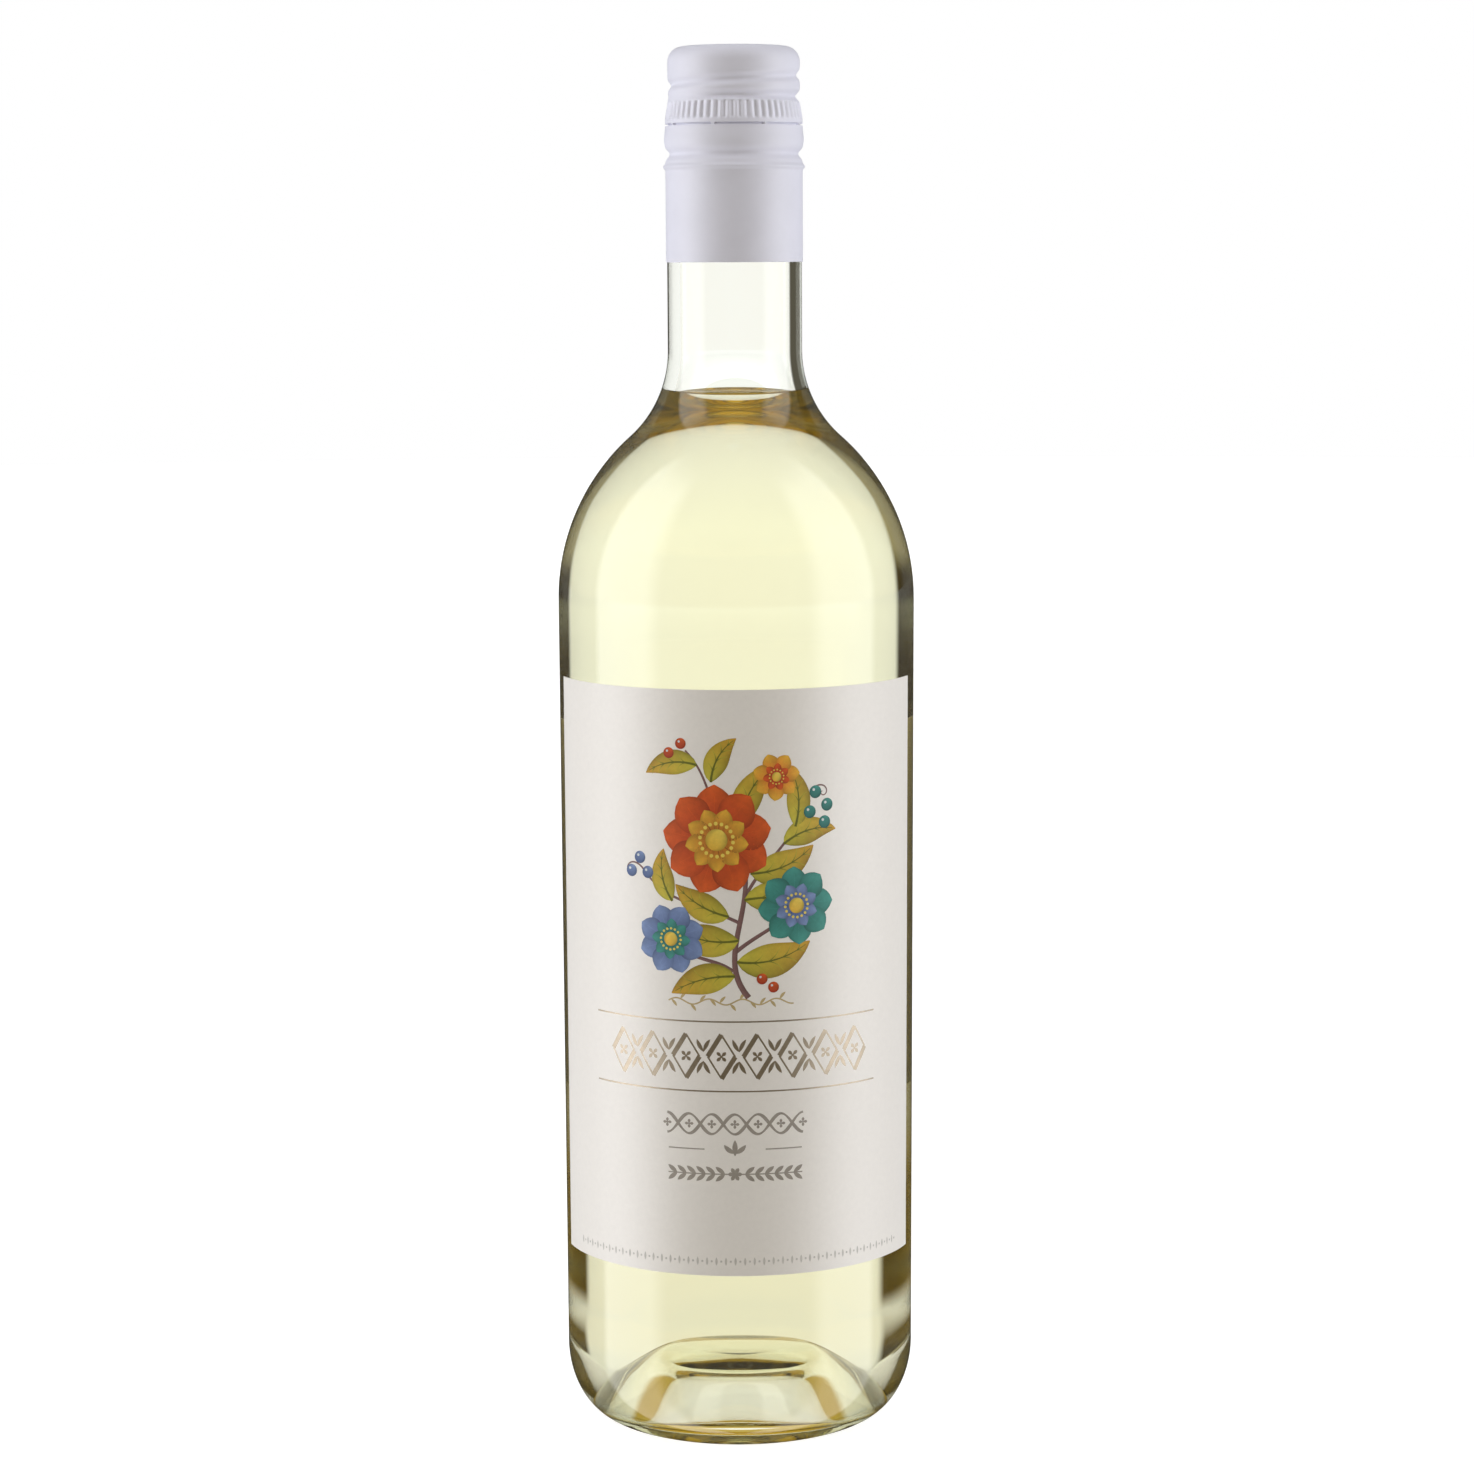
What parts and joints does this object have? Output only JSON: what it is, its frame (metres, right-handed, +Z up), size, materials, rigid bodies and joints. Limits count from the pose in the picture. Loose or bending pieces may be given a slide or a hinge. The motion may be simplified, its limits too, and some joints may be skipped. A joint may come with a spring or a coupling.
{
  "type": "wine bottle",
  "caption": "Clear glass bottle of pale straw-yellow white wine with a high rounded shoulder, a long off-white aluminium screw cap, a tall cream front label and a smaller back label.",
  "frame": {"origin": "on the bottle's axis, at the level it stands on", "axes": "+Z up along the bottle's axis, -Y out of the middle of the front label, +X to the right of someone facing that label"},
  "size_m": [0.076, 0.0768, 0.2945],
  "materials": {
    "glass": "clear polished glass, faintly green at its edges",
    "wine": "clear pale straw-yellow liquid",
    "cap": "satin lavender-white lacquer on aluminium",
    "front_paper": "uncoated warm cream paper with bronze and coloured print",
    "back_paper": "uncoated warm white paper"
  },
  "bodies": {
    "root": {"glass_bottle": "glass", "wine": "wine", "screw_cap": "cap", "front_label": "front_paper", "back_label": "back_paper"}
  },
  "joints": []
}
